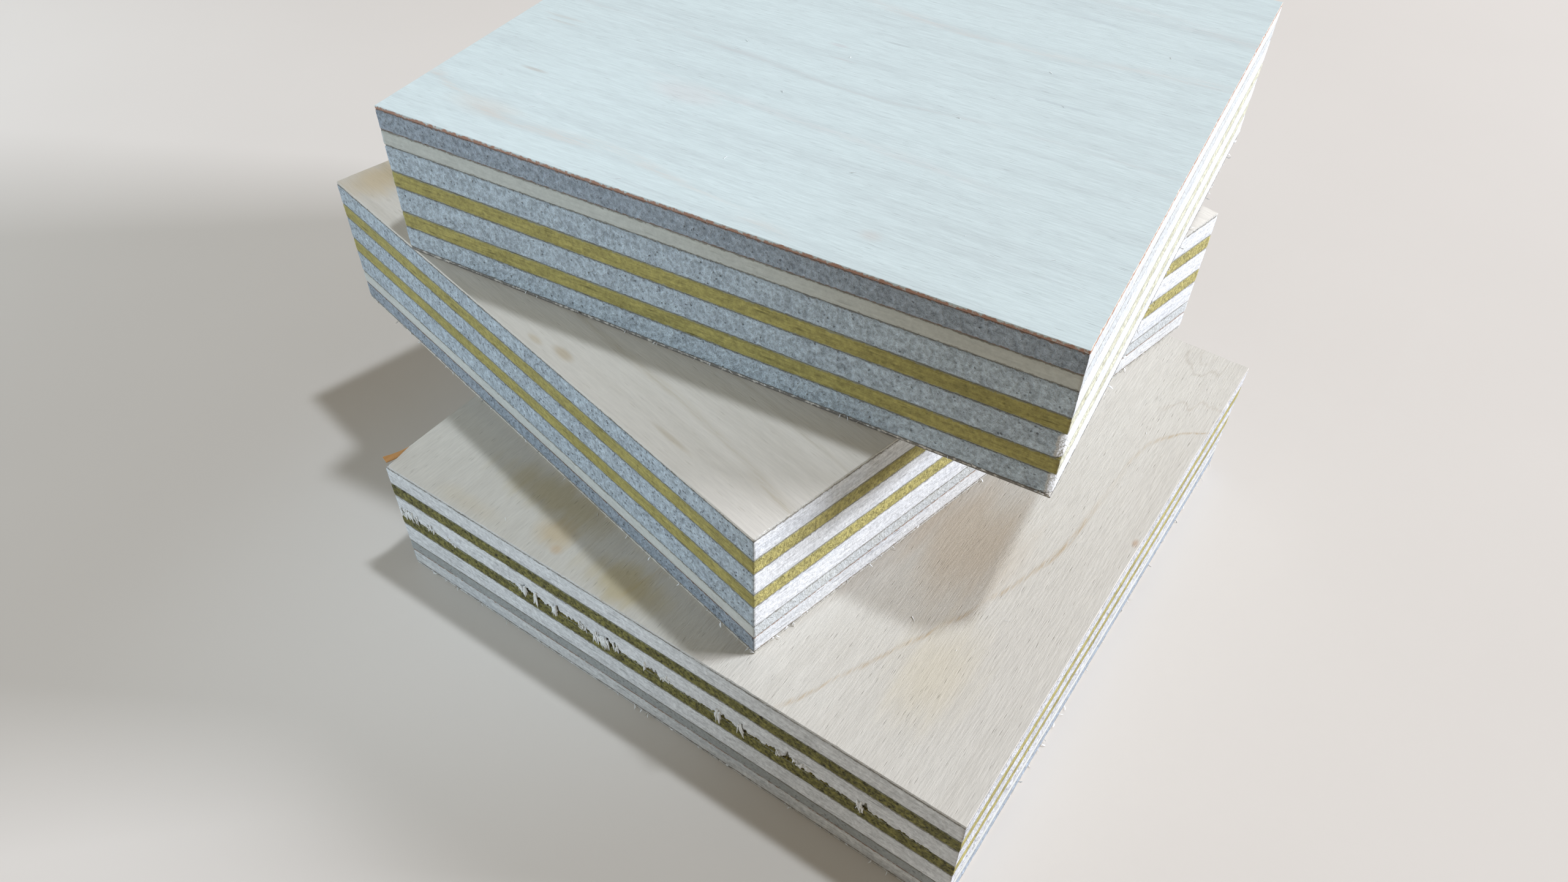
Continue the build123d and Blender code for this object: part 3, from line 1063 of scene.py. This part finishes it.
shares = [step / SLIVER_STEPS for step in range(SLIVER_STEPS + 1)]
line = [
    (
        -BOTTOM.width / 2 + SLIVER_HOLD - SLIVER_LEAN * share**1.6,
        -BOTTOM.length / 2 + SLIVER_LENGTH * (1 - 0.9 * share),
        SLIVER_BASE + SLIVER_RISE * share**1.5,
    )
    for share in shares
]
widths = [(0.4 + 0.35 * share) * MM for share in shares]
sliver_wood = make_wood("lifted_sliver", BOTTOM, False, SLIVER_WOOD)
sliver = blade("lifted_sliver", line, widths, SLIVER_THICKNESS, SLIVER_ACROSS, sliver_wood)
keep_piece(sliver, "face_veneer")


def aim_lamp(light, azimuth, elevation, distance, aim):
    """Hangs a lamp so that it faces a place. Azimuth is counterclockwise from X, in degrees."""
    lamp = new_object(light.name, light)
    lamp.visible_camera = False
    turn, lift = math.radians(azimuth), math.radians(elevation)
    towards = Vector(
        (math.cos(turn) * math.cos(lift), math.sin(turn) * math.cos(lift), math.sin(lift))
    )
    lamp.location = aim + towards * distance
    lamp.rotation_euler = towards.to_track_quat("Z", "Y").to_euler()


# The floor is a matt pale board, a little mottled.
FLOOR_REACH = 2.0  # half of its side, in metres
FLOOR_HEIGHT = -0.02 * MM
board = bpy.data.meshes.new("floor")
corners = [(-1, -1), (1, -1), (1, 1), (-1, 1)]
corners = [(x * FLOOR_REACH, y * FLOOR_REACH, FLOOR_HEIGHT) for x, y in corners]
board.from_pydata(corners, [], [(0, 1, 2, 3)])
pale_board, tree = new_material("matt_pale_board")
place = add(tree, "ShaderNodeTexCoord").outputs["Object"]
mottle = add(tree, "ShaderNodeTexNoise", {"Vector": place, "Scale": 12.0, "Detail": 4.0})
colour = add(
    tree, "ShaderNodeMix", {"Factor": mottle, "A": linear("#cbc6bd"), "B": linear("#d3cec5")},
    data_type="RGBA",
)
shader = add(
    tree, "ShaderNodeBsdfPrincipled",
    {"Base Color": colour, "Roughness": 0.9, "Specular IOR Level": 0.2},
)
add(tree, "ShaderNodeOutputMaterial", {"Surface": shader})
board.materials.append(pale_board)
floor = new_object("floor", board)

# What the lamps are aimed at
STACK_MIDDLE = Vector((-10.0, 5.0, 30.0)) * MM
FRONT_SIDES = Vector((-28.5, -28.0, 26.0)) * MM

# Each soft box: azimuth and elevation in degrees, distance, width and height in metres, power in
# watts, and colour
SOFT_BOXES = {
    "window": (36.0, 18.0, 1.8, 0.45, 0.35, 54.0, "#eef1ff"),
    "overhead": (40.0, 73.5, 1.0, 0.06, 0.06, 5.4, "#dfe8f6"),
    "left_fill": (205.0, 16.0, 0.35, 0.25, 0.2, 0.45, "#d4eaff"),
}
for name, (azimuth, elevation, distance, width, height, power, colour) in SOFT_BOXES.items():
    light = bpy.data.lights.new(name, "AREA")
    light.shape = "RECTANGLE"
    light.size, light.size_y = width, height
    light.energy = power
    light.color = linear(colour)[:3]
    aim_lamp(light, azimuth, elevation, distance, STACK_MIDDLE)

# A soft spot on the left two thirds of the front sides, which leaves their right ends darker
spot = bpy.data.lights.new("front_fill", "SPOT")
spot.energy = 3.1
spot.color = linear("#d0e8ff")[:3]
spot.spot_size = math.radians(12.6)
spot.spot_blend = 0.6
spot.shadow_soft_size = 12 * MM
aim_lamp(spot, 258.0, 20.0, 0.45, FRONT_SIDES)

world = bpy.data.worlds.new("studio")
world.use_nodes = True
background = world.node_tree.nodes["Background"]
background.inputs["Color"].default_value = linear("#ffe6c0")
background.inputs["Strength"].default_value = 0.25
bpy.context.scene.world = world

# The camera that took the photograph, found from the sheets' corners
CAMERA_PLACE = Vector((49.947, -86.544, 115.601)) * MM
CAMERA_AZIMUTH, CAMERA_ELEVATION, CAMERA_ROLL = 33.82, 45.765, 1.419
CAMERA_LENS, SENSOR = 26.166, 36.0

turn, tilt, roll = (math.radians(a) for a in (CAMERA_AZIMUTH, CAMERA_ELEVATION, CAMERA_ROLL))
ahead = Vector((-math.sin(turn), math.cos(turn), -math.tan(tilt))).normalized()
level = Vector((math.cos(turn), math.sin(turn), 0.0))
above = level.cross(ahead)
right = math.cos(roll) * level + math.sin(roll) * above
up = math.cos(roll) * above - math.sin(roll) * level
lens = bpy.data.cameras.new("camera")
lens.sensor_width = SENSOR
lens.lens = CAMERA_LENS
lens.clip_start = 5 * MM
camera = new_object("camera", lens)
stand = Matrix((right, up, -ahead)).transposed().to_4x4()
camera.matrix_world = Matrix.Translation(CAMERA_PLACE) @ stand
bpy.context.scene.camera = camera

bpy.context.scene.view_settings.view_transform = "Standard"
